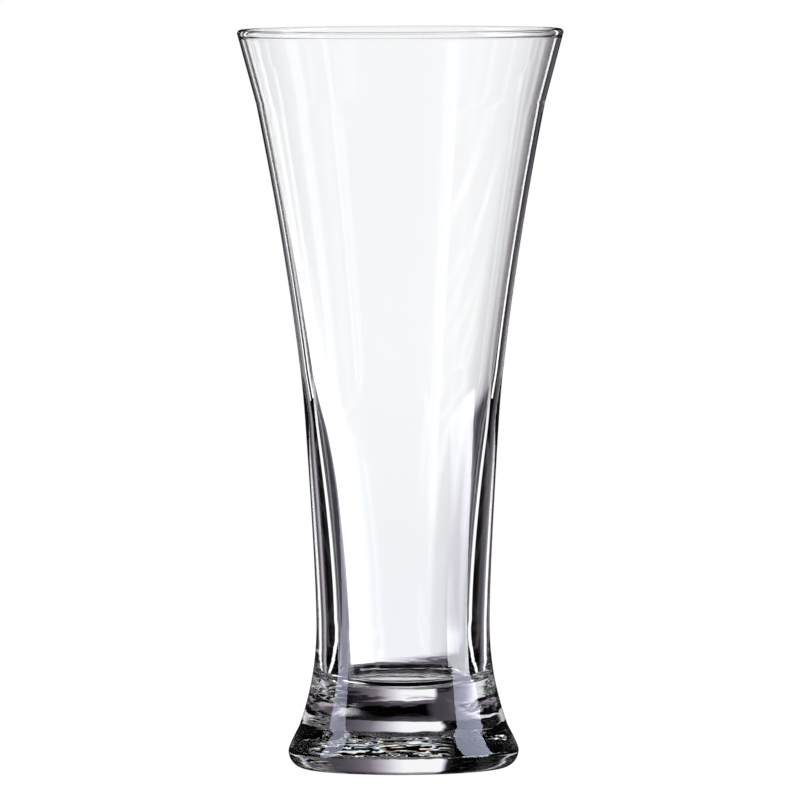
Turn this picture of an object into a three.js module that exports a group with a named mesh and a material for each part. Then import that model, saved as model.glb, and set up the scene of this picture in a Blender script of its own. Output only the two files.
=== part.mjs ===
// A footed juice glass in clear pressed glass: a trumpet-shaped bowl on a thick shank,
// a solid base and a round foot.
// Millimetres, +Z up. The origin is the centre of the ring that the foot stands on.
import * as THREE from "three";

// Lengths of the zones, from the table up
const heelHeight = 3.5;
const shoulderHeight = 5;
const baseLength = 20.5;
const shankLength = 46.5;
const bowlLength = 59.5;
const lipLength = 15;

// Outer radii where one zone passes into the next
const footRadius = 23.4;
const creaseRadius = 21.2;
const waistRadius = 17.6;
const kneeRadius = 20;
const lipRadius = 29.3;
const rimRadius = 33.1;

// Wall thicknesses at the same places
const waistWall = 4.25;
const kneeWall = 1.75;
const lipWall = 1.35;
const rimWall = 1.6;

// Where the walls bend between those places: how far above the zone's lower end, and by how much
const flareBendHeight = 10;
const shankBendHeight = 11;
const boreBendHeight = 29;
const boreDraft = 1.15;
const bowlBendHeight = 27.5;
const bowlBendRadius = 22.9;
const bowlBendWall = 1.15;

// The foot's underside and edge
const standOuterRadius = 20;
const standInnerRadius = 16.5;
const kickUp = 1.25;
const shoulderRound = 0.9;

// The dished floor of the hollow, and the angle by which the rim's bead wraps under on each side
const floorReach = 6.5;
const floorRise = 3.2;
const floorSide = 10;
const beadWrap = Math.PI / 6;

// Fineness of the turned surfaces
const turnSteps = 48;
const wallSteps = 6;
const edgeSteps = 8;

// Heights and radii that follow from the sizes above
const creaseHeight = heelHeight + shoulderHeight;
const waistHeight = creaseHeight + baseLength;
const kneeHeight = waistHeight + shankLength;
const lipHeight = kneeHeight + bowlLength;
const boreRadius = waistRadius - waistWall;
const kneeBore = kneeRadius - kneeWall;
const lipBore = lipRadius - lipWall;

const at = (radius, height) => new THREE.Vector2(radius, height);

// Points along a wall that leaves one end towards the bend and reaches the other end from it.
const bentWall = (from, bend, to, steps) => new THREE.QuadraticBezierCurve(from, bend, to).getPoints(steps);

// Points along the part of an ellipse that lies between two angles.
function roundEdge(centre, radialReach, upwardReach, startAngle, endAngle) {
  const clockwise = endAngle < startAngle;
  const edge = new THREE.EllipseCurve(
    centre.x, centre.y, radialReach, upwardReach, startAngle, endAngle, clockwise,
  );
  return edge.getPoints(edgeSteps);
}

// The profile with the points dropped that repeat the one before them.
function joined(...stretches) {
  const points = stretches.flat();
  const leastStep = 1e-6;
  return points.filter((point, i) => i === 0 || point.distanceTo(points[i - 1]) > leastStep);
}

// A profile turned round the glass's axis, as a named piece that sits at the given height.
function turnedPiece(name, profile, height, material) {
  const geometry = new THREE.LatheGeometry(profile, turnSteps);
  geometry.rotateX(Math.PI / 2);
  const piece = new THREE.Mesh(geometry, material);
  piece.name = name;
  piece.position.z = height;
  return piece;
}

// Clear soda-lime glass: almost colourless, and a little bluer where it is thick.
function clearGlass(colour, opacity) {
  return new THREE.MeshStandardMaterial({
    color: colour,
    roughness: 0.04,
    metalness: 0,
    transparent: true,
    opacity,
  });
}

// The round foot: a flat standing ring round a shallow hollow, a rounded heel,
// and a shoulder up to the crease.
function footPad() {
  const hollow = bentWall(
    at(0, kickUp), at(standInnerRadius / 2, kickUp), at(standInnerRadius, 0), wallSteps,
  );
  const heel = roundEdge(
    at(standOuterRadius, heelHeight), footRadius - standOuterRadius, heelHeight, -Math.PI / 2, 0,
  );
  const shoulder = bentWall(
    at(footRadius, heelHeight),
    at(footRadius, heelHeight + shoulderRound),
    at(creaseRadius, creaseHeight),
    wallSteps,
  );
  const top = [at(0, creaseHeight)];
  return turnedPiece("foot_pad", joined(hollow, heel, shoulder, top), 0, clearGlass(0xe9eff4, 0.5));
}

// The solid base: a neck that flares down to the foot, with the dished floor of the hollow in its top.
function solidBase() {
  const flare = bentWall(
    at(creaseRadius, 0), at(waistRadius, flareBendHeight), at(waistRadius, baseLength), edgeSteps,
  );
  const cornerHeight = baseLength - floorSide;
  const corner = roundEdge(
    at(boreRadius - floorReach, cornerHeight), floorReach, floorRise, 0, -Math.PI / 2,
  );
  const floorHeight = cornerHeight - floorRise;
  const profile = joined(
    [at(0, 0)], flare, [at(boreRadius, baseLength)], corner, [at(0, floorHeight)],
  );
  return turnedPiece("solid_base", profile, creaseHeight, clearGlass(0xe9eff4, 0.5));
}

// The shank: a thick tube whose bore narrows faster than its outside, so the wall grows towards the base.
function shankWall() {
  const outside = bentWall(
    at(waistRadius, 0), at(waistRadius, shankBendHeight), at(kneeRadius, shankLength), wallSteps,
  );
  const bore = bentWall(
    at(kneeBore, shankLength), at(boreRadius + boreDraft, boreBendHeight), at(boreRadius, 0), wallSteps,
  );
  const profile = joined(outside, bore, [at(waistRadius, 0)]);
  return turnedPiece("shank_wall", profile, waistHeight, clearGlass(0xeef3f7, 0.4));
}

// The flared bowl: a thin wall that opens out from the knee to the lip.
function flaredBowl() {
  const outside = bentWall(
    at(kneeRadius, 0), at(bowlBendRadius, bowlBendHeight), at(lipRadius, bowlLength), wallSteps,
  );
  const inside = bentWall(
    at(lipBore, bowlLength), at(bowlBendRadius - bowlBendWall, bowlBendHeight), at(kneeBore, 0), wallSteps,
  );
  const profile = joined(outside, inside, [at(kneeRadius, 0)]);
  return turnedPiece("flared_bowl", profile, kneeHeight, clearGlass(0xf4f8fb, 0.3));
}

// The lip: the last, wider cone of the wall, with a fire-polished rim that swells into a round bead.
function rimLip() {
  const rimRound = rimWall / 2;
  const rim = roundEdge(
    at(rimRadius - rimRound, lipLength - rimRound), rimRound, rimRound, -beadWrap, Math.PI + beadWrap,
  );
  const profile = joined([at(lipRadius, 0)], rim, [at(lipBore, 0), at(lipRadius, 0)]);
  return turnedPiece("rim_lip", profile, lipHeight, clearGlass(0xf4f8fb, 0.3));
}

const glass = new THREE.Group();
glass.name = "juice_glass";
glass.add(footPad(), solidBase(), shankWall(), flaredBowl(), rimLip());

export default glass;
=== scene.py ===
"""Looks of a footed juice glass: one seamless body of clear pressed glass in a white studio.

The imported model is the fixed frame, in metres with +Z up. The heights of the zones and their outer radii
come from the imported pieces. The real glass has no seam between its zones, so one turned body stands for
all of them.
"""

from __future__ import annotations

import logging
import math
from dataclasses import dataclass
from enum import Enum
from typing import Any

import bpy
from mathutils import Matrix, Vector


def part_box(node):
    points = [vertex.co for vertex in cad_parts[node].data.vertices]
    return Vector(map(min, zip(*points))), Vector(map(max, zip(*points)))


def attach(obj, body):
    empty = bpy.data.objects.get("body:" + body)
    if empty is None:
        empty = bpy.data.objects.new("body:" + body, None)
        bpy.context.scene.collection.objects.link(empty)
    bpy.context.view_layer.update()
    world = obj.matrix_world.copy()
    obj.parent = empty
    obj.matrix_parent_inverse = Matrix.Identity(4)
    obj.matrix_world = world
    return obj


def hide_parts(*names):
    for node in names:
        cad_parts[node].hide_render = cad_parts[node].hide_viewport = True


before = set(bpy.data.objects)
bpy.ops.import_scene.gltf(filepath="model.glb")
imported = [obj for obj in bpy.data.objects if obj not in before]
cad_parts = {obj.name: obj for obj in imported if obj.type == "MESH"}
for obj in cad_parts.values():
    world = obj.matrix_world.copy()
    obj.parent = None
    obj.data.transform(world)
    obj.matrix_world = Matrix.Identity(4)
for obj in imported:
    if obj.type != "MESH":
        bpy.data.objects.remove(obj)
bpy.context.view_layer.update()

log = logging.getLogger("juice_glass")

Station = tuple[float, float]
Stops = tuple[Station, ...]
Colour = tuple[float, float, float, float]
ColourStops = tuple[tuple[float, Colour], ...]
WHITE: Colour = (1.0, 1.0, 1.0, 1.0)
BLACK: Colour = (0.0, 0.0, 0.0, 1.0)
ALL_BUT_GLASS = ("camera", "diffuse", "glossy", "shadow")


class Slot(Enum):
    """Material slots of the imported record."""

    CLEAR_GLASS = "clear_glass"


class Sweep(Enum):
    """How a stretch of the profile gets from its start to its end."""

    BEND = "bent_wall"
    ROUND = "round_edge"


class TreeMaker:
    """Adds nodes to one node tree and wires them up."""

    def __init__(self, tree: bpy.types.NodeTree) -> None:
        """Takes an existing tree and empties it."""
        self.tree = tree
        self.tree.nodes.clear()

    def feed(self, socket: bpy.types.NodeSocket, value: Any) -> None:
        """Gives an input its value.

        Args:
            socket: The input.
            value: Another node's output to link, a constant, or None to leave the default.
        """
        if isinstance(value, bpy.types.NodeSocket):
            self.tree.links.new(value, socket)
        elif value is not None:
            socket.default_value = value

    def add(self, kind: str, *values: Any, **settings: Any) -> bpy.types.Node:
        """Adds a node.

        Args:
            kind: The node's type name.
            values: What its inputs get, in their order.
            settings: The node's own properties.

        Returns:
            The new node.
        """
        node = self.tree.nodes.new(kind)
        for name, value in settings.items():
            setattr(node, name, value)
        for socket, value in zip(node.inputs, values):
            self.feed(socket, value)
        return node

    def math(self, operation: str, *values: Any) -> bpy.types.NodeSocket:
        """Adds a Math node and returns its result."""
        return self.add("ShaderNodeMath", *values, operation=operation).outputs[0]

    def vector(self, operation: str, *values: Any) -> bpy.types.NodeSocket:
        """Adds a Vector Math node and returns its vector."""
        return self.add("ShaderNodeVectorMath", *values, operation=operation).outputs[0]

    def radius(self, place: Any) -> bpy.types.NodeSocket:
        """Measures how far a place lies from the Z axis."""
        level = self.vector("MULTIPLY", place, (1.0, 1.0, 0.0))
        return self.add("ShaderNodeVectorMath", level, operation="LENGTH").outputs["Value"]

    def ramp(
        self, value: Any, low: float, high: float, start: Any = 0.0, end: Any = 1.0
    ) -> bpy.types.NodeSocket:
        """Adds a soft step.

        Args:
            value: What is measured.
            low: The value where the step starts.
            high: The value where the step ends.
            start: The result up to low.
            end: The result from high on.

        Returns:
            The stepped value.
        """
        settings = {"interpolation_type": "SMOOTHSTEP"}
        return self.add("ShaderNodeMapRange", value, low, high, start, end, **settings).outputs[0]

    def blend(self, share: Any, first: Any, second: Any) -> bpy.types.NodeSocket:
        """Mixes two numbers: the first at share 0, the second at share 1."""
        span = self.math("SUBTRACT", second, first)
        return self.math("MULTIPLY_ADD", span, share, first)

    def mixed(self, share: Any, first: Any, second: Any) -> bpy.types.NodeSocket:
        """Mixes two colours.

        Args:
            share: The second colour's share.
            first: The colour at share 0.
            second: The colour at share 1.

        Returns:
            The mixed colour.
        """
        mix = self.add("ShaderNodeMix", share, data_type="RGBA")
        colours = [socket for socket in mix.inputs if socket.type == "RGBA"]
        self.feed(colours[0], first)
        self.feed(colours[1], second)
        return next(socket for socket in mix.outputs if socket.type == "RGBA")

    def socket(self, name: str, kind: str, is_input: bool = True) -> bpy.types.NodeTreeInterfaceSocket:
        """Adds a named input or output to the tree and returns it."""
        in_out = "INPUT" if is_input else "OUTPUT"
        return self.tree.interface.new_socket(name, in_out=in_out, socket_type=kind)


def new_finish(name: str) -> tuple[bpy.types.Material, TreeMaker]:
    """Makes a material, and the maker of its still empty tree.

    Args:
        name: The material's name.

    Returns:
        The material and the maker.
    """
    made = bpy.data.materials.new(name)
    made.use_nodes = True
    return made, TreeMaker(made.node_tree)


def stage_sheet(
    name: str, corners: list[Any], faces: list[Any], finish: bpy.types.Material, unseen_by: tuple[str, ...]
) -> bpy.types.Object:
    """Adds a sheet to the studio.

    Args:
        name: The sheet's name.
        corners: Its corners.
        faces: Its faces, as the numbers of their corners.
        finish: Its material.
        unseen_by: The kinds of light that pass it by.

    Returns:
        The sheet.
    """
    mesh = bpy.data.meshes.new(name)
    mesh.from_pydata(corners, [], faces)
    mesh.materials.append(finish)
    sheet = bpy.data.objects.new(name, mesh)
    bpy.context.scene.collection.objects.link(sheet)
    for kind in unseen_by:
        setattr(sheet, f"visible_{kind}", False)
    return sheet


@dataclass(frozen=True)
class Stretch:
    """One stretch of the profile, between two named stations."""

    sweep: Sweep
    start: str
    via: str
    end: str
    fine: int


class TurningTrees:
    """Geometry node trees that turn a profile round the Z axis."""

    def __init__(self) -> None:
        """Builds one group for each way of sweeping a stretch."""
        self.groups = {sweep: self.strip_group(sweep) for sweep in Sweep}

    def strip_group(self, sweep: Sweep) -> bpy.types.NodeTree:
        """Builds the group that turns one stretch into a strip of faces.

        Args:
            sweep: Whether the stretch bends towards its middle point or rounds it as a centre.

        Returns:
            The group, with the stretch's three points and its fineness as inputs.
        """
        group = TreeMaker(bpy.data.node_groups.new(sweep.value, "GeometryNodeTree"))
        for name in ("Start", "Via", "End"):
            group.socket(name, "NodeSocketVector")
        for name in ("Steps", "Turns"):
            group.socket(name, "NodeSocketInt")
        group.socket("Strip", "NodeSocketGeometry", is_input=False)
        start, via, end, steps, turns = group.add("NodeGroupInput").outputs[:5]
        rows = group.math("ADD", steps, 1.0)
        columns = group.math("ADD", turns, 1.0)
        grid = group.add("GeometryNodeMeshGrid", 1.0, 1.0, rows, columns)
        index = group.add("GeometryNodeInputIndex").outputs[0]
        rounding_guard = 0.5
        row = group.math("FLOOR", group.math("DIVIDE", group.math("ADD", index, rounding_guard), columns))
        column = group.math("SUBTRACT", index, group.math("MULTIPLY", row, columns))
        share = group.math("DIVIDE", row, steps)
        turn = group.math("MULTIPLY", group.math("DIVIDE", column, turns), math.tau)
        if sweep is Sweep.BEND:
            point = self.bent_point(group, share, start, via, end)
        else:
            point = self.round_point(group, share, start, via, end)
        turned = group.add("ShaderNodeVectorRotate", point, None, None, turn, rotation_type="Z_AXIS")
        placed = group.add("GeometryNodeSetPosition", grid.outputs[0], None, turned.outputs[0])
        group.add("NodeGroupOutput", placed.outputs[0])
        return group.tree

    @staticmethod
    def bent_point(group: TreeMaker, share: Any, start: Any, via: Any, end: Any) -> bpy.types.NodeSocket:
        """Finds a point on a quadratic curve.

        Args:
            group: The tree to add to.
            share: How far along the curve the point is, from 0 to 1.
            start: Where the curve starts.
            via: The point that it bends towards.
            end: Where it ends.

        Returns:
            The point.
        """
        first = group.vector("SCALE", group.vector("SUBTRACT", via, start), None, None, share)
        second = group.vector("SCALE", group.vector("SUBTRACT", end, via), None, None, share)
        near = group.vector("ADD", start, first)
        far = group.vector("ADD", via, second)
        across = group.vector("SCALE", group.vector("SUBTRACT", far, near), None, None, share)
        return group.vector("ADD", near, across)

    @staticmethod
    def round_point(group: TreeMaker, share: Any, start: Any, via: Any, end: Any) -> bpy.types.NodeSocket:
        """Finds a point on a quarter of an ellipse.

        Args:
            group: The tree to add to.
            share: How far round the point is, from 0 to 1.
            start: Where the quarter starts.
            via: The ellipse's centre.
            end: Where the quarter ends.

        Returns:
            The point.
        """
        angle = group.math("MULTIPLY", share, math.pi / 2)
        from_start = group.vector("SUBTRACT", start, via)
        from_end = group.vector("SUBTRACT", end, via)
        first = group.vector("SCALE", from_start, None, None, group.math("COSINE", angle))
        second = group.vector("SCALE", from_end, None, None, group.math("SINE", angle))
        return group.vector("ADD", via, group.vector("ADD", first, second))

    def body_tree(self, name: str, stations: list[str], stretches: list[Stretch]) -> bpy.types.NodeTree:
        """Builds the tree that joins the strips into one closed body.

        Args:
            name: The tree's name.
            stations: The names of the profile's points, each of which becomes a named input.
            stretches: The profile in order, from the axis underneath to the axis inside.

        Returns:
            The tree, whose inputs are the stations, Turns and Finish.
        """
        merge_distance = 1e-7
        body = TreeMaker(bpy.data.node_groups.new(name, "GeometryNodeTree"))
        for station in stations:
            body.socket(station, "NodeSocketVector")
        body.socket("Turns", "NodeSocketInt")
        body.socket("Finish", "NodeSocketMaterial")
        body.socket("Body", "NodeSocketGeometry", is_input=False)
        given = body.add("NodeGroupInput").outputs
        joined = body.add("GeometryNodeJoinGeometry")
        for stretch in stretches:
            strip = body.add("GeometryNodeGroup", node_tree=self.groups[stretch.sweep])
            ends = (given[stretch.start], given[stretch.via], given[stretch.end])
            for socket, value in zip(strip.inputs, (*ends, stretch.fine, given["Turns"])):
                body.feed(socket, value)
            body.feed(joined.inputs[0], strip.outputs[0])
        merged = body.add("GeometryNodeMergeByDistance", joined.outputs[0], None, merge_distance)
        outward = body.add("GeometryNodeFlipFaces", merged.outputs[0])
        smooth = body.add("GeometryNodeSetShadeSmooth", outward.outputs[0], None, True)
        real = body.add("GeometryNodeRealizeInstances", smooth.outputs[0])
        dressed = body.add("GeometryNodeSetMaterial", real.outputs[0], None, given["Finish"])
        body.add("NodeGroupOutput", dressed.outputs[0])
        return body.tree


@dataclass(frozen=True)
class ClearGlass:
    """Clear pressed glass, fire-polished, with faint waves and a scuffed standing ring."""

    name: str = "clear_glass"
    thin_colour: Colour = (0.985, 0.99, 0.995, 1.0)
    thick_colour: Colour = (0.955, 0.97, 0.985, 1.0)
    thick_below: float = 0.03
    thin_above: float = 0.09
    ior: float = 1.5
    wave_scale: float = 55.0
    wave_detail: float = 1.0
    wave_depth: float = 0.000001
    streak_scale: float = 60.0
    streak_stretch: float = 4.0
    streak_detail: float = 3.0
    streak_depth: float = 0.00017
    streak_below: float = 0.012
    streak_fades: float = 0.034
    bore_reaches: float = 0.0145
    outside_starts: float = 0.0165
    stipple_scale: float = 90.0
    stipple_detail: float = 3.0
    stipple_depth: float = 0.00026
    stipple_below: float = 0.0013
    stipple_fades: float = 0.0016
    stipple_within: float = 0.02
    stipple_ends: float = 0.0208
    polish: float = 0.0
    scuff: float = 0.22
    scuff_height: float = 0.0003
    scuff_scale: float = 900.0
    scuff_detail: float = 2.0
    full_bump: float = 1.0

    @staticmethod
    def noise(tree: TreeMaker, place: Any, scale: float, detail: float) -> bpy.types.NodeSocket:
        """Adds a noise pattern.

        Args:
            tree: The material's tree.
            place: Where on the glass it is looked up.
            scale: How fine the pattern is.
            detail: How many finer patterns lie on it.

        Returns:
            The pattern's value.
        """
        pattern = tree.add("ShaderNodeTexNoise", place)
        pattern.inputs["Scale"].default_value = scale
        pattern.inputs["Detail"].default_value = detail
        return pattern.outputs[0]

    def relief(self, tree: TreeMaker, place: Any, height: Any) -> bpy.types.NodeSocket:
        """Adds up the faint waves, the ripple on the outside of base and foot, and the uneven underside.

        Args:
            tree: The material's tree.
            place: Where on the glass it is looked up.
            height: The height of that place above the table.

        Returns:
            The relief in metres.
        """
        waves = self.noise(tree, place, self.wave_scale, self.wave_detail)
        flattened = tree.vector("MULTIPLY", place, (1.0, 1.0, self.streak_stretch))
        streaks = self.noise(tree, flattened, self.streak_scale, self.streak_detail)
        stipple = self.noise(tree, place, self.stipple_scale, self.stipple_detail)
        radius = tree.radius(place)
        streak_depth = tree.ramp(height, self.streak_below, self.streak_fades, self.streak_depth, 0.0)
        outside = tree.ramp(radius, self.bore_reaches, self.outside_starts)
        streaked = tree.math("MULTIPLY", streaks, tree.math("MULTIPLY", streak_depth, outside))
        stipple_depth = tree.ramp(height, self.stipple_below, self.stipple_fades, self.stipple_depth, 0.0)
        inside_heel = tree.ramp(radius, self.stipple_within, self.stipple_ends, 1.0, 0.0)
        under_depth = tree.math("MULTIPLY", stipple_depth, inside_heel)
        uneven = tree.math("MULTIPLY_ADD", stipple, under_depth, streaked)
        return tree.math("MULTIPLY_ADD", waves, self.wave_depth, uneven)

    def material(self) -> bpy.types.Material:
        """Builds the material.

        Returns:
            A Principled glass whose tint follows the thickness of the wall.
        """
        made, tree = new_finish(self.name)
        place = tree.add("ShaderNodeTexCoord").outputs["Object"]
        height = tree.add("ShaderNodeSeparateXYZ", place).outputs["Z"]
        thin = tree.ramp(height, self.thick_below, self.thin_above)
        tinted = tree.mixed(thin, self.thick_colour, self.thin_colour)
        bump = tree.add("ShaderNodeBump")
        bump.inputs["Strength"].default_value = self.full_bump
        bump.inputs["Distance"].default_value = self.full_bump
        tree.feed(bump.inputs["Height"], self.relief(tree, place, height))
        rubbed = tree.ramp(height, 0.0, self.scuff_height, 1.0, 0.0)
        scratches = self.noise(tree, place, self.scuff_scale, self.scuff_detail)
        worn = tree.math("MULTIPLY", rubbed, scratches)
        rough = tree.math("MULTIPLY_ADD", worn, self.scuff, self.polish)
        glass = tree.add("ShaderNodeBsdfPrincipled")
        glass.inputs["Metallic"].default_value = 0.0
        glass.inputs["IOR"].default_value = self.ior
        glass.inputs["Transmission Weight"].default_value = 1.0
        tree.feed(glass.inputs["Base Color"], tinted)
        tree.feed(glass.inputs["Roughness"], rough)
        tree.feed(glass.inputs["Normal"], bump.outputs[0])
        tree.add("ShaderNodeOutputMaterial", glass.outputs[0])
        return made


def line_crossing(first: Vector, second: Vector, third: Vector, fourth: Vector) -> Vector:
    """Finds where two lines meet.

    Args:
        first: A point on the first line.
        second: Another point on it.
        third: A point on the second line.
        fourth: Another point on it.

    Returns:
        The point on both.
    """
    along, other = second - first, fourth - third
    share = (third - first).cross(other) / along.cross(other)
    return first + along * share


@dataclass
class TurnedGlass:
    """The whole glass as one turned body. Lengths in metres."""

    name: str = "glass_body"
    turns: int = 256
    waist_radius: float = 0.0176
    waist_wall: float = 0.00425
    knee_wall: float = 0.00175
    lip_wall: float = 0.00135
    rim_wall: float = 0.0016
    bead_wrap: float = math.pi / 6
    heel_height: float = 0.0035
    stand_outer: float = 0.020
    stand_inner: float = 0.0165
    kick_up: float = 0.00125
    shoulder_round: float = 0.0009
    flare_bend: float = 0.010
    shank_bend: float = 0.011
    bore_bend: float = 0.029
    bore_draft: float = 0.00115
    bowl_bend: float = 0.0275
    bowl_bend_radius: float = 0.0229
    bowl_bend_wall: float = 0.00115
    floor_reach: float = 0.0065
    floor_rise: float = 0.0032
    floor_side: float = 0.01
    knee_ease: float = 0.005

    def stations(self) -> dict[str, Station]:
        """Works out the profile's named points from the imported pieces.

        Returns:
            The radius and height of each point.
        """
        foot, crease = self.top_of("foot_pad")
        crease_radius, waist = self.top_of("solid_base")
        knee_radius, knee = self.top_of("shank_wall")
        lip_radius, lip = self.top_of("flared_bowl")
        rim_radius, rim = self.top_of("rim_lip")
        bore = self.waist_radius - self.waist_wall
        knee_bore = knee_radius - self.knee_wall
        lip_bore = lip_radius - self.lip_wall
        rim_round = self.rim_wall / 2
        rim_middle = rim_radius - rim_round
        rim_side = rim - rim_round
        bead_foot = rim_side - rim_round * math.sin(self.bead_wrap)
        bead_half = rim_round * math.cos(self.bead_wrap)
        bead_bend = rim_side - rim_round * math.tan(self.bead_wrap / 2)
        corner = waist - self.floor_side
        floor = corner - self.floor_rise
        flat = bore - self.floor_reach
        points = {
            "Hollow Centre": (0.0, self.kick_up),
            "Hollow Bend": (self.stand_inner / 2, self.kick_up),
            "Ring Inside": (self.stand_inner, 0.0),
            "Ring Outside": (self.stand_outer, 0.0),
            "Heel Centre": (self.stand_outer, self.heel_height),
            "Heel": (foot, self.heel_height),
            "Shoulder Bend": (foot, self.heel_height + self.shoulder_round),
            "Crease": (crease_radius, crease),
            "Flare Bend": (self.waist_radius, crease + self.flare_bend),
            "Waist": (self.waist_radius, waist),
            "Shank Bend": (self.waist_radius, waist + self.shank_bend),
            "Knee": (knee_radius, knee),
            "Bowl Bend": (self.bowl_bend_radius, knee + self.bowl_bend),
            "Lip": (lip_radius, lip),
            "Bead Outside": (rim_middle + bead_half, bead_foot),
            "Bead Outside Bend": (rim_radius, bead_bend),
            "Rim Outside": (rim_radius, rim_side),
            "Rim Centre": (rim_middle, rim_side),
            "Rim Top": (rim_middle, rim),
            "Rim Inside": (rim_middle - rim_round, rim_side),
            "Bead Inside Bend": (rim_middle - rim_round, bead_bend),
            "Bead Inside": (rim_middle - bead_half, bead_foot),
            "Lip Bore": (lip_bore, lip),
            "Bowl Bore Bend": (self.bowl_bend_radius - self.bowl_bend_wall, knee + self.bowl_bend),
            "Knee Bore": (knee_bore, knee),
            "Bore Bend": (bore + self.bore_draft, waist + self.bore_bend),
            "Waist Bore": (bore, waist),
            "Corner Top": (bore, corner),
            "Corner Centre": (flat, corner),
            "Floor Edge": (flat, floor),
            "Floor Centre": (0.0, floor),
        }
        self.ease(points, ("Waist", "Shank Bend"), "Knee", ("Bowl Bend", "Lip"))
        self.ease(points, ("Lip Bore", "Bowl Bore Bend"), "Knee Bore", ("Bore Bend", "Waist Bore"))
        for start, end in (
            ("Ring Inside", "Ring Outside"),
            ("Lip", "Bead Outside"),
            ("Bead Inside", "Lip Bore"),
            ("Waist Bore", "Corner Top"),
            ("Floor Edge", "Floor Centre"),
        ):
            ends = zip(points[start], points[end])
            points[self.halfway(start, end)] = tuple((here + there) / 2 for here, there in ends)
        return points

    def ease(
        self, points: dict[str, Station], before: tuple[str, str], corner: str, after: tuple[str, str]
    ) -> None:
        """Rounds the corner where two bends meet: cuts both short and puts a third bend between them.

        Args:
            points: The profile's points, in which both bends' middle points and the corner are moved.
            before: The start and the middle point of the bend that runs to the corner.
            corner: The corner, which becomes the middle point of the new bend.
            after: The middle point and the end of the bend that runs on from the corner.
        """
        start, first = (Vector(points[name]) for name in before)
        second, end = (Vector(points[name]) for name in after)
        middle = Vector(points[corner])
        first_share = 1.0 - self.knee_ease / (2 * abs(middle.y - first.y))
        second_share = self.knee_ease / (2 * abs(second.y - middle.y))
        first_side, first_tip = start.lerp(first, first_share), first.lerp(middle, first_share)
        second_tip, second_side = middle.lerp(second, second_share), second.lerp(end, second_share)
        points[before[1]] = tuple(first_side)
        points[after[0]] = tuple(second_side)
        points[f"{corner} Before"] = tuple(first_side.lerp(first_tip, first_share))
        points[f"{corner} After"] = tuple(second_tip.lerp(second_side, second_share))
        points[corner] = tuple(line_crossing(first_side, first_tip, second_tip, second_side))

    @staticmethod
    def halfway(start: str, end: str) -> str:
        """Names the point halfway along a straight stretch."""
        return f"{start} to {end}"

    @staticmethod
    def top_of(node: str) -> Station:
        """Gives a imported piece's largest radius and its top height."""
        _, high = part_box(node)
        return high.x, high.z

    def stretches(self) -> list[Stretch]:
        """Lists the profile, from the axis underneath up the outside, over the rim and down to the floor.

        Returns:
            The stretches in order.
        """
        wall, edge, eased, bead, line = 30, 20, 10, 8, 4
        return [
            Stretch(Sweep.BEND, "Hollow Centre", "Hollow Bend", "Ring Inside", edge),
            self.straight("Ring Inside", "Ring Outside", line),
            Stretch(Sweep.ROUND, "Ring Outside", "Heel Centre", "Heel", edge),
            Stretch(Sweep.BEND, "Heel", "Shoulder Bend", "Crease", edge),
            Stretch(Sweep.BEND, "Crease", "Flare Bend", "Waist", wall),
            Stretch(Sweep.BEND, "Waist", "Shank Bend", "Knee Before", wall),
            Stretch(Sweep.BEND, "Knee Before", "Knee", "Knee After", eased),
            Stretch(Sweep.BEND, "Knee After", "Bowl Bend", "Lip", wall),
            self.straight("Lip", "Bead Outside", wall),
            Stretch(Sweep.BEND, "Bead Outside", "Bead Outside Bend", "Rim Outside", bead),
            Stretch(Sweep.ROUND, "Rim Outside", "Rim Centre", "Rim Top", edge),
            Stretch(Sweep.ROUND, "Rim Top", "Rim Centre", "Rim Inside", edge),
            Stretch(Sweep.BEND, "Rim Inside", "Bead Inside Bend", "Bead Inside", bead),
            self.straight("Bead Inside", "Lip Bore", wall),
            Stretch(Sweep.BEND, "Lip Bore", "Bowl Bore Bend", "Knee Bore Before", wall),
            Stretch(Sweep.BEND, "Knee Bore Before", "Knee Bore", "Knee Bore After", eased),
            Stretch(Sweep.BEND, "Knee Bore After", "Bore Bend", "Waist Bore", wall),
            self.straight("Waist Bore", "Corner Top", line),
            Stretch(Sweep.ROUND, "Corner Top", "Corner Centre", "Floor Edge", edge),
            self.straight("Floor Edge", "Floor Centre", line),
        ]

    def straight(self, start: str, end: str, fine: int) -> Stretch:
        """Makes a straight stretch between two stations."""
        return Stretch(Sweep.BEND, start, self.halfway(start, end), end, fine)

    def build(self, trees: TurningTrees, finish: bpy.types.Material) -> bpy.types.Object:
        """Turns the profile into a plain closed mesh.

        Args:
            trees: The node groups that turn a stretch.
            finish: The material of the whole body.

        Returns:
            The glass, at the origin with its place in its mesh.
        """
        points = self.stations()
        tree = trees.body_tree("turned_glass", list(points), self.stretches())
        piece = bpy.data.objects.new(self.name, bpy.data.meshes.new(self.name))
        bpy.context.scene.collection.objects.link(piece)
        turning = piece.modifiers.new("turning", "NODES")
        turning.node_group = tree
        values: dict[str, Any] = {name: (radius, 0.0, height) for name, (radius, height) in points.items()}
        values["Turns"] = self.turns
        values["Finish"] = finish
        for socket in tree.interface.items_tree:
            if socket.in_out == "INPUT":
                turning[socket.identifier] = values[socket.name]
        depsgraph = bpy.context.evaluated_depsgraph_get()
        turned = bpy.data.meshes.new_from_object(piece.evaluated_get(depsgraph), depsgraph=depsgraph)
        piece.modifiers.remove(turning)
        piece.data = turned
        turned.name = self.name
        return piece

    def dress(self, piece: bpy.types.Object) -> None:
        """Ties the glass to the frame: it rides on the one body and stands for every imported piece.

        Args:
            piece: The glass.
        """
        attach(piece, "root")
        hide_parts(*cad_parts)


@dataclass(frozen=True)
class GlassPath:
    """How light came through the glass, as numbers in a node tree: 1 where it holds, otherwise 0."""

    hollow: bpy.types.NodeSocket
    mirrored: bpy.types.NodeSocket
    often_mirrored: bpy.types.NodeSocket

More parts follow.
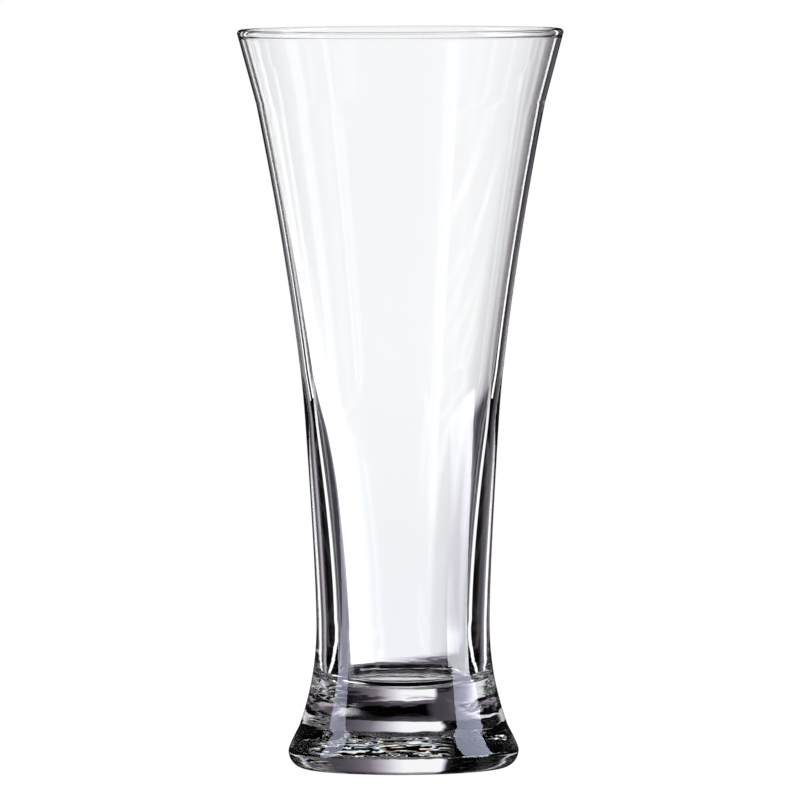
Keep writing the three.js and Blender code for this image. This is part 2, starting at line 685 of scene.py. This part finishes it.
    @classmethod
    def read(cls, tree: TreeMaker) -> GlassPath:
        """Reads it from the number of surfaces that the light has crossed and been mirrored by.

        Args:
            tree: The tree to add to.

        Returns:
            Whether it crossed both walls of the hollow, and whether it was mirrored, once or more often.
        """
        path = tree.add("ShaderNodeLightPath").outputs
        solid_crossings, bounce = 3.0, 0.5
        hollow = tree.math("GREATER_THAN", path["Transmission Depth"], solid_crossings)
        mirrored = tree.math("GREATER_THAN", path["Glossy Depth"], bounce)
        often = tree.math("GREATER_THAN", path["Glossy Depth"], 1.0 + bounce)
        return cls(hollow, mirrored, often)


@dataclass(frozen=True)
class PanelGlow:
    """How bright a light panel is, seen through the glass along its line of sight.

    The panel shades off to its right and ends sharply on its left. Light that is mirrored inside the glass
    reaches only its middle and a slim strip to the left. Angles are in degrees, to the left of the line of
    sight and above it. Brightness 1 is white.
    """

    hollow_across: Stops = (
        (-27.0, 0.0), (-24.0, 0.25), (-20.0, 0.48), (-14.0, 0.6), (-11.2, 0.68), (-9.5, 0.8),
        (-8.0, 0.93), (-5.2, 0.98), (-4.2, 1.12), (2.0, 1.11), (4.7, 1.15), (8.0, 1.45), (11.4, 1.95),
        (14.5, 2.4), (16.5, 0.35), (18.5, 0.06), (34.0, 0.0),
    )
    hollow_lean: float = 0.18
    hollow_upwards: Stops = (
        (-30.0, 0.0), (-26.0, 0.06), (-22.0, 0.13), (-17.0, 0.17), (-13.0, 0.1), (-11.8, 0.12),
        (-11.3, 0.3), (-10.7, 0.57), (-10.2, 0.78), (-9.6, 0.9), (-8.8, 1.0), (38.0, 1.0), (60.0, 0.0),
    )
    solid_across: Stops = (
        (-34.0, 0.0), (-30.0, 0.07), (-22.0, 0.09), (-17.0, 0.13), (-12.0, 0.21), (-7.5, 0.5),
        (-2.5, 0.9), (0.0, 1.02), (13.4, 1.04), (15.4, 0.02), (18.0, 0.0),
    )
    solid_upwards: Stops = (
        (-28.0, 0.0), (-25.0, 0.06), (-20.5, 0.15), (-19.3, 1.0), (24.0, 1.0), (27.0, 0.4), (60.0, 0.0),
    )
    mirrored_across: Stops = (
        (-28.0, 0.0), (-20.0, 0.13), (-12.0, 0.33), (-9.0, 0.5), (-6.0, 1.8), (2.5, 1.8), (6.0, 0.4),
        (9.0, 0.08), (14.0, 0.15), (17.0, 0.45), (22.0, 0.6), (25.0, 0.25), (27.0, 0.0),
    )
    mirrored_upwards: Stops = (
        (-24.0, 0.0), (-21.0, 1.0), (-2.0, 1.0), (1.0, 0.0), (38.0, 0.0), (42.0, 0.5), (66.0, 0.5),
        (70.0, 0.0),
    )

    @staticmethod
    def colours(tree: TreeMaker, angle: Any, stops: ColourStops) -> bpy.types.NodeSocket:
        """Looks a colour up by an angle.

        Args:
            tree: The tree to add to.
            angle: The angle in radians.
            stops: Angles in degrees, from the lowest to the highest, with the colour at each.

        Returns:
            The colour, straight between the stops.
        """
        low, high = stops[0][0], stops[-1][0]
        share = tree.add("ShaderNodeMapRange", angle, math.radians(low), math.radians(high), 0.0, 1.0)
        ramp = tree.add("ShaderNodeValToRGB", share.outputs[0])
        places = ramp.color_ramp.elements
        unplaced = 0.5
        for _ in stops[2:]:
            places.new(unplaced)
        for place, (stop, colour) in zip(places, stops):
            place.position = (stop - low) / (high - low)
            place.color = colour
        return ramp.outputs[0]

    @classmethod
    def curve(cls, tree: TreeMaker, angle: Any, stops: Stops) -> bpy.types.NodeSocket:
        """Looks a brightness up by an angle, in the same way as a colour."""
        return cls.colours(tree, angle, tuple((stop, (level, level, level, 1.0)) for stop, level in stops))

    def brightness(
        self, tree: TreeMaker, left: Any, above: Any, path: GlassPath, solid: float
    ) -> bpy.types.NodeSocket:
        """Looks the panel's brightness up.

        Args:
            tree: The tree to add to.
            left: The angle to the left of the line of sight, in radians.
            above: The angle above it, in radians.
            path: How the light came through the glass.
            solid: The share of the panel that light through solid glass gets.

        Returns:
            The brightness.
        """
        leaning = tree.math("MULTIPLY_ADD", left, self.hollow_lean, above)
        curves = (
            (self.hollow_across, leaning, self.hollow_upwards),
            (self.solid_across, above, self.solid_upwards),
            (self.mirrored_across, above, self.mirrored_upwards),
        )
        hollow, full, inner = (
            tree.math("MULTIPLY", self.curve(tree, left, across), self.curve(tree, rise, upwards))
            for across, rise, upwards in curves
        )
        straight = tree.blend(path.hollow, tree.math("MULTIPLY", full, solid), hollow)
        return tree.blend(path.mirrored, straight, inner)


@dataclass(frozen=True)
class LightPanel:
    """A light panel that faces one side of the glass. Angles in degrees, left from +X and upwards."""

    heading: float
    tilt: float
    top: float = 90.0
    solid: float = 1.0


@dataclass(frozen=True)
class WhiteStudio:
    """The white surroundings, the light panels round the glass and the floor.

    The first panel is the one behind the glass in the photo. Lengths in metres, angles in degrees.
    """

    glow: PanelGlow = PanelGlow()
    panels: tuple[LightPanel, ...] = (
        LightPanel(90.0, -3.0),
        LightPanel(180.0, -3.0),
        LightPanel(315.0, -15.0),
        LightPanel(135.0, -25.0, -21.0, 0.92),
    )
    top_softness: float = 1.5
    sparkle_period: float = 3.6
    sparkle_middle: float = 4.35
    sparkle_band: ColourStops = (
        (-0.58, BLACK),
        (-0.4, (0.95, 0.7, 0.45, 1.0)),
        (-0.24, WHITE),
        (0.24, WHITE),
        (0.4, (0.45, 0.68, 1.0, 1.0)),
        (0.58, BLACK),
    )
    sparkle_once: Stops = (
        (-40.0, 0.0), (-36.0, 0.9), (-25.0, 0.9), (-23.0, 0.0), (0.0, 0.0), (2.0, 1.0), (34.0, 1.0),
        (37.0, 0.2),
    )
    sparkle_often: Stops = (
        (-40.0, 0.2), (-13.0, 0.2), (0.0, 0.3), (2.0, 1.1), (34.0, 1.1), (37.0, 0.2), (60.0, 0.2),
    )
    sparkle_round: Stops = (
        (-180.0, 1.0), (-146.0, 1.0), (-138.0, 0.0), (50.0, 0.0), (58.0, 1.0), (100.0, 1.0),
        (106.0, 0.0), (164.0, 0.0), (170.0, 1.0), (180.0, 1.0),
    )
    sparkle_beside: float = 0.6
    beside_from: float = 28.0
    beside_to: float = 36.0
    dim_tint: Colour = (1.0, 0.82, 1.05, 1.0)
    posts: tuple[Station, ...] = ((36.5, -1.5), (143.5, 1.5), (233.5, 1.5))
    post_level: float = -9.0
    post_across: Stops = ((-4.5, 0.0), (-3.5, 1.2), (3.5, 1.2), (4.5, 0.0))
    post_upwards: Stops = ((-24.0, 0.0), (-22.0, 1.0), (-3.0, 1.0), (-2.0, 0.0))
    often_share: float = 0.4
    open_below: Station = (-62.0, -54.0)
    hollow_open: float = 0.96
    hollow_sides: Station = (36.0, 44.0)
    solid_open: float = 0.88
    solid_sides: Station = (50.0, 60.0)
    white_strength: float = 1.0
    reflected: float = 0.015
    ambient: float = 0.5
    floor_white: float = 0.97
    floor_shown: float = 0.06
    floor_paper: float = 0.8
    floor_half: float = 4.0

    def panel_light(self, tree: TreeMaker) -> bpy.types.NodeSocket:
        """Adds up what the panels and the white round them give in the direction that is looked in.

        Args:
            tree: The world's tree.

        Returns:
            The colour.
        """
        direction = tree.add("ShaderNodeTexCoord").outputs["Generated"]
        parts = tree.add("ShaderNodeSeparateXYZ", direction).outputs
        heading = tree.math("ARCTAN2", parts["Y"], parts["X"])
        rise = tree.math("ARCSINE", parts["Z"])
        path = GlassPath.read(tree)
        total = tree.math("MULTIPLY", self.post_light(tree, heading, rise), path.mirrored)
        beside: Any = 1.0
        near, far = math.radians(self.beside_from), math.radians(self.beside_to)
        for panel in self.panels:
            left = self.turned(tree, heading, panel.heading)
            above = tree.math("SUBTRACT", rise, math.radians(panel.tilt))
            level = self.glow.brightness(tree, left, above, path, panel.solid)
            top = math.radians(panel.top)
            below_top = tree.ramp(rise, top - math.radians(self.top_softness), top, 1.0, 0.0)
            total = tree.math("MULTIPLY_ADD", level, below_top, total)
            away = tree.ramp(tree.math("ABSOLUTE", left), near, far)
            beside = tree.math("MULTIPLY", beside, tree.blend(panel.solid, 1.0, away))
        total = tree.math("MULTIPLY", total, tree.blend(path.often_mirrored, 1.0, self.often_share))
        total = tree.math("MAXIMUM", total, self.open_light(tree, heading, rise, path))
        tinted = tree.vector("MULTIPLY", total, tree.mixed(total, self.dim_tint, WHITE))
        return tree.vector("ADD", tinted, self.sparkle_light(tree, heading, rise, beside, path))

    def open_light(self, tree: TreeMaker, heading: Any, rise: Any, path: GlassPath) -> bpy.types.NodeSocket:
        """Opens the studio's white to the glass, straight below it and on all sides but the first panel's.

        Args:
            tree: The world's tree.
            heading: The direction round the glass, in radians.
            rise: The angle above the horizon, in radians.
            path: How the light came through the glass.

        Returns:
            The brightness, which is 0 for light that was mirrored.
        """
        away = tree.math("ABSOLUTE", self.turned(tree, heading, self.panels[0].heading))
        levels = []
        for sides, level in ((self.solid_sides, self.solid_open), (self.hollow_sides, self.hollow_open)):
            beside = tree.ramp(away, *(math.radians(angle) for angle in sides))
            shown = tree.ramp(rise, *(math.radians(angle) for angle in self.open_below), 1.0, beside)
            levels.append(tree.math("MULTIPLY", shown, level))
        return tree.blend(path.mirrored, tree.blend(path.hollow, *levels), 0.0)

    def sparkle_light(
        self, tree: TreeMaker, heading: Any, rise: Any, beside: Any, path: GlassPath
    ) -> bpy.types.NodeSocket:
        """Adds level bands of light, each with a warm lower and a cool upper edge.

        Args:
            tree: The world's tree.
            heading: The direction round the glass, in radians.
            rise: The angle above the horizon, in radians.
            beside: How far the direction is clear of the panels, from 0 to 1.
            path: How the light came through the glass.

        Returns:
            The colour.
        """
        half = math.radians(self.sparkle_period / 2)
        above_middle = tree.math("SUBTRACT", rise, math.radians(self.sparkle_middle))
        offset = tree.math("WRAP", above_middle, half, -half)
        band = self.glow.colours(tree, offset, self.sparkle_band)
        sides = self.glow.curve(tree, heading, self.sparkle_round)
        once = tree.math("MULTIPLY", sides, self.glow.curve(tree, rise, self.sparkle_once))
        often = self.glow.curve(tree, rise, self.sparkle_often)
        mirrored = tree.blend(path.often_mirrored, once, often)
        straight = tree.math("MULTIPLY", beside, tree.blend(path.hollow, self.sparkle_beside, 0.0))
        return tree.vector("SCALE", band, None, None, tree.blend(path.mirrored, straight, mirrored))

    def post_light(self, tree: TreeMaker, heading: Any, rise: Any) -> bpy.types.NodeSocket:
        """Adds the slim posts of light, which lean towards the panels below a level.

        Args:
            tree: The world's tree.
            heading: The direction round the glass, in radians.
            rise: The angle above the horizon, in radians.

        Returns:
            The brightness.
        """
        above = tree.math("SUBTRACT", rise, math.radians(self.post_level))
        total: Any = 0.0
        for post, lean in self.posts:
            offset = tree.math("MULTIPLY_ADD", above, -lean, self.turned(tree, heading, post))
            total = tree.math("ADD", total, self.glow.curve(tree, offset, self.post_across))
        return tree.math("MULTIPLY", total, self.glow.curve(tree, rise, self.post_upwards))

    @staticmethod
    def turned(tree: TreeMaker, heading: Any, start: float) -> bpy.types.NodeSocket:
        """Measures how far a heading in radians lies to the left of a start in degrees."""
        return tree.math("WRAP", tree.math("SUBTRACT", heading, math.radians(start)), math.pi, -math.pi)

    def hang_world(self) -> None:
        """Builds the world: white to the camera, the panels through the glass, soft light on the floor."""
        world = bpy.data.worlds.new("white_studio")
        bpy.context.scene.world = world
        world.use_nodes = True
        tree = TreeMaker(world.node_tree)
        path = tree.add("ShaderNodeLightPath").outputs
        level = tree.blend(path["Is Diffuse Ray"], self.reflected, self.ambient)
        level = tree.blend(path["Is Camera Ray"], level, self.white_strength)
        plain = tree.add("ShaderNodeBackground", WHITE, level).outputs[0]
        panels = tree.add("ShaderNodeBackground", self.panel_light(tree), self.white_strength).outputs[0]
        light = tree.add("ShaderNodeMixShader", path["Is Transmission Ray"], plain, panels)
        tree.add("ShaderNodeOutputWorld", light.outputs[0])

    def lay_floor(self) -> bpy.types.Object:
        """Lays the floor, which keeps the glass's shadow. The glass shows the panels and the table instead.

        Returns:
            The floor.
        """
        half = self.floor_half
        corners = [(-half, -half, 0.0), (half, -half, 0.0), (half, half, 0.0), (-half, half, 0.0)]
        unseen_by = ("transmission", "glossy")
        return stage_sheet("studio_floor", corners, [(0, 1, 2, 3)], self.floor_paper_material(), unseen_by)

    def floor_paper_material(self) -> bpy.types.Material:
        """Builds the floor's white paper.

        Returns:
            A material that glows white to the camera, apart from a share that takes the shadow.
        """
        made, tree = new_finish("white_paper")
        seen = tree.add("ShaderNodeLightPath").outputs["Is Camera Ray"]
        matt = tree.add("ShaderNodeBsdfDiffuse", tree.blend(seen, self.floor_paper, self.floor_shown))
        glow = tree.add("ShaderNodeEmission", WHITE, tree.math("MULTIPLY", seen, self.floor_white))
        both = tree.add("ShaderNodeAddShader", matt.outputs[0], glow.outputs[0])
        tree.add("ShaderNodeOutputMaterial", both.outputs[0])
        return made


@dataclass(frozen=True)
class WallStrip:
    """An upright strip of light, level with the bowl, that only light mirrored inside the glass's wall meets.

    It draws the white line along the bowl's edge. Angles in degrees, lengths in metres.
    """

    heading: float
    width: float
    distance: float = 0.12
    bottom: float = 0.043
    top: float = 0.2
    glow: float = 1.6

    def material(self) -> bpy.types.Material:
        """Builds the strip's light.

        Returns:
            A material that glows to mirrored light and is clear to all other.
        """
        made, tree = new_finish("wall_strip")
        shown = GlassPath.read(tree).mirrored
        clear = tree.add("ShaderNodeBsdfTransparent")
        light = tree.add("ShaderNodeEmission", WHITE, self.glow)
        mixed = tree.add("ShaderNodeMixShader", shown, clear.outputs[0], light.outputs[0])
        tree.add("ShaderNodeOutputMaterial", mixed.outputs[0])
        return made

    def stand(self) -> bpy.types.Object:
        """Stands the strip up, facing the axis of the glass.

        Returns:
            The strip.
        """
        turn = math.radians(self.heading)
        foot = Vector((math.cos(turn), math.sin(turn), 0.0)) * self.distance
        side = Vector((-math.sin(turn), math.cos(turn), 0.0)) * (self.width / 2)
        low, high = Vector((0.0, 0.0, self.bottom)), Vector((0.0, 0.0, self.top))
        corners = [foot - side + low, foot + side + low, foot + side + high, foot - side + high]
        return stage_sheet("wall_strip", corners, [(0, 1, 2, 3)], self.material(), ALL_BUT_GLASS)


@dataclass(frozen=True)
class WhiteTable:
    """The white table as it is seen through the bowl from above, sloping down from the waist of the glass.

    It slopes more than most of the light that the photo's view takes through the knee, so that view hardly
    meets it. Lengths in metres, angles in degrees.
    """

    slope: float
    outer: float
    heading: float = 90.0
    spread: float = 180.0
    inner: float = 0.0245
    height: float = 0.031
    # How far out from the inner edge the painted shade near the glass reaches.
    fade: float = 0.03
    glow: float = 0.96
    sides: int = 96

    def material(self) -> bpy.types.Material:
        """Builds the table's white.

        Returns:
            A material that fades in outwards from the glass, which paints shade towards the glass's base, and
            is clear to mirrored light and from underneath.
        """
        made, tree = new_finish("white_table")
        radius = tree.radius(tree.add("ShaderNodeTexCoord").outputs["Object"])
        # Painted shade: near the glass the table turns clear, so the dark world shows there, darker towards
        # the glass's base.
        near = tree.ramp(radius, self.inner, self.inner + self.fade, 1.0, 0.0)
        under = tree.add("ShaderNodeNewGeometry").outputs["Backfacing"]
        unseen = tree.math("MAXIMUM", GlassPath.read(tree).mirrored, tree.math("MAXIMUM", under, near))
        light = tree.add("ShaderNodeEmission", WHITE, self.glow)
        clear = tree.add("ShaderNodeBsdfTransparent")
        mixed = tree.add("ShaderNodeMixShader", unseen, light.outputs[0], clear.outputs[0])
        tree.add("ShaderNodeOutputMaterial", mixed.outputs[0])
        return made

    def lay(self) -> bpy.types.Object:
        """Lays the table round the glass.

        Returns:
            The table.
        """
        drop = (self.outer - self.inner) * math.tan(math.radians(self.slope))
        corners = []
        for side in range(self.sides + 1):
            turn = math.radians(self.heading + self.spread * (2 * side / self.sides - 1))
            along = Vector((math.cos(turn), math.sin(turn), 0.0))
            corners.append(along * self.inner + Vector((0.0, 0.0, self.height)))
            corners.append(along * self.outer + Vector((0.0, 0.0, self.height - drop)))
        faces = [(2 * side, 2 * side + 1, 2 * side + 3, 2 * side + 2) for side in range(self.sides)]
        return stage_sheet("white_table", corners, faces, self.material(), ALL_BUT_GLASS)


@dataclass(frozen=True)
class Softbox:
    """A tall soft lamp that leaves a strip of light on the glass. Angles in degrees, lengths in metres."""

    name: str
    colour: tuple[float, float, float]
    side_angle: float
    width: float
    bottom: float
    top: float
    power: float
    distance: float = 0.9
    tapers: bool = False
    fades: bool = False
    near_share: float = 0.38
    fade_in: Station = (0.0, 0.07)
    fade_across: Station = (0.35, 0.9)
    fade_upwards: Station = (0.12, 0.42)

    def hang(self) -> bpy.types.Object:
        """Hangs the lamp, facing the axis of the glass. Only the glass's outer surface mirrors it.

        Returns:
            The lamp.
        """
        data = bpy.data.lights.new(self.name, "AREA")
        data.shape = "ELLIPSE" if self.tapers else "RECTANGLE"
        data.size = self.width
        data.size_y = self.top - self.bottom
        data.energy = self.power
        data.color = self.colour
        data.use_nodes = True
        tree = TreeMaker(data.node_tree)
        crossed = tree.add("ShaderNodeLightPath").outputs["Transmission Depth"]
        one_crossing = 0.5
        outside = tree.math("LESS_THAN", crossed, one_crossing)
        shown = tree.math("MULTIPLY", outside, self.faded(tree)) if self.fades else outside
        light = tree.add("ShaderNodeEmission", WHITE, shown)
        tree.add("ShaderNodeOutputLight", light.outputs[0])
        lamp = bpy.data.objects.new(self.name, data)
        bpy.context.scene.collection.objects.link(lamp)
        turn = math.radians(self.side_angle)
        towards = Vector((math.sin(turn), -math.cos(turn), 0.0))
        lamp.location = towards * self.distance + Vector((0.0, 0.0, (self.bottom + self.top) / 2))
        lamp.rotation_mode = "QUATERNION"
        lamp.rotation_quaternion = (-towards).to_track_quat("-Z", "Y")
        lamp.visible_camera = False
        lamp.visible_transmission = False
        return lamp

    def faded(self, tree: TreeMaker) -> bpy.types.NodeSocket:
        """Fades the light in from the lower end, and in the lower part from the far side to the near one.

        Args:
            tree: The lamp's tree.

        Returns:
            The share of the lamp's light, by the place on the lamp.
        """
        place = tree.add("ShaderNodeNewGeometry").outputs["Parametric"]
        parts = tree.add("ShaderNodeSeparateXYZ", place).outputs
        sideways = tree.ramp(parts["X"], *self.fade_across, self.near_share, 1.0)
        upwards = tree.ramp(parts["Y"], *self.fade_upwards, sideways, 1.0)
        return tree.math("MULTIPLY", upwards, tree.ramp(parts["Y"], *self.fade_in))


@dataclass(frozen=True)
class StudioCamera:
    """A long lens a little above the rim. Lengths in metres, roll in degrees."""

    distance: float = 2.4
    height: float = 0.198
    aim_height: float = 0.0747
    aim_side: float = -0.0004
    picture_width: float = 0.1624
    roll: float = -0.27

    def place(self) -> bpy.types.Object:
        """Makes the camera and gives it to the scene.

        Returns:
            The camera.
        """
        data = bpy.data.cameras.new("studio_camera")
        camera = bpy.data.objects.new("studio_camera", data)
        bpy.context.scene.collection.objects.link(camera)
        camera.location = (self.aim_side, -self.distance, self.height)
        aim = Vector((self.aim_side, 0.0, self.aim_height)) - camera.location
        data.lens = data.sensor_width * aim.length / self.picture_width
        turned = aim.to_track_quat("-Z", "Y").to_matrix() @ Matrix.Rotation(math.radians(self.roll), 3, "Z")
        camera.rotation_euler = turned.to_euler()
        bpy.context.scene.camera = camera
        return camera


def main() -> None:
    """Builds the glass, the studio and the camera."""
    logging.basicConfig(level=logging.INFO, format="%(name)s: %(message)s")
    bpy.context.scene.view_settings.view_transform = "Standard"
    camera = StudioCamera().place()
    log.info("%s with a lens of %.0f mm", camera.name, camera.data.lens)
    glass = TurnedGlass()
    piece = glass.build(TurningTrees(), ClearGlass().material())
    glass.dress(piece)
    log.info("%s with %d faces", piece.name, len(piece.data.polygons))
    studio = WhiteStudio()
    studio.hang_world()
    log.info("%s", studio.lay_floor().name)
    for table in (WhiteTable(slope=18.0, outer=5.0), WhiteTable(slope=12.0, outer=2.5, spread=6.0)):
        log.info("%s", table.lay().name)
    lavender = (0.74, 0.77, 1.0)
    pale_blue = (0.92, 0.96, 1.0)
    softboxes = (
        Softbox(
            "right_softbox", lavender, side_angle=84.5, width=0.6, bottom=0.16, top=1.3, power=14.8
        ),
        Softbox(
            "lower_right_softbox", pale_blue, side_angle=77.2, width=0.55, bottom=-0.1, top=0.16, power=4.8,
            fades=True,
        ),
        Softbox(
            "left_softbox", lavender, side_angle=-84.0, width=0.36, bottom=-0.11, top=1.3, power=6.6,
            tapers=True,
        ),
    )
    for softbox in softboxes:
        log.info("%s", softbox.hang().name)
    strip_places = ((47.3, 0.011), (127.0, 0.008), (137.3, 0.011), (217.0, 0.008))
    for heading, width in strip_places:
        log.info("%s at %.0f degrees", WallStrip(heading, width).stand().name, heading)


if __name__ == "__main__":
    main()
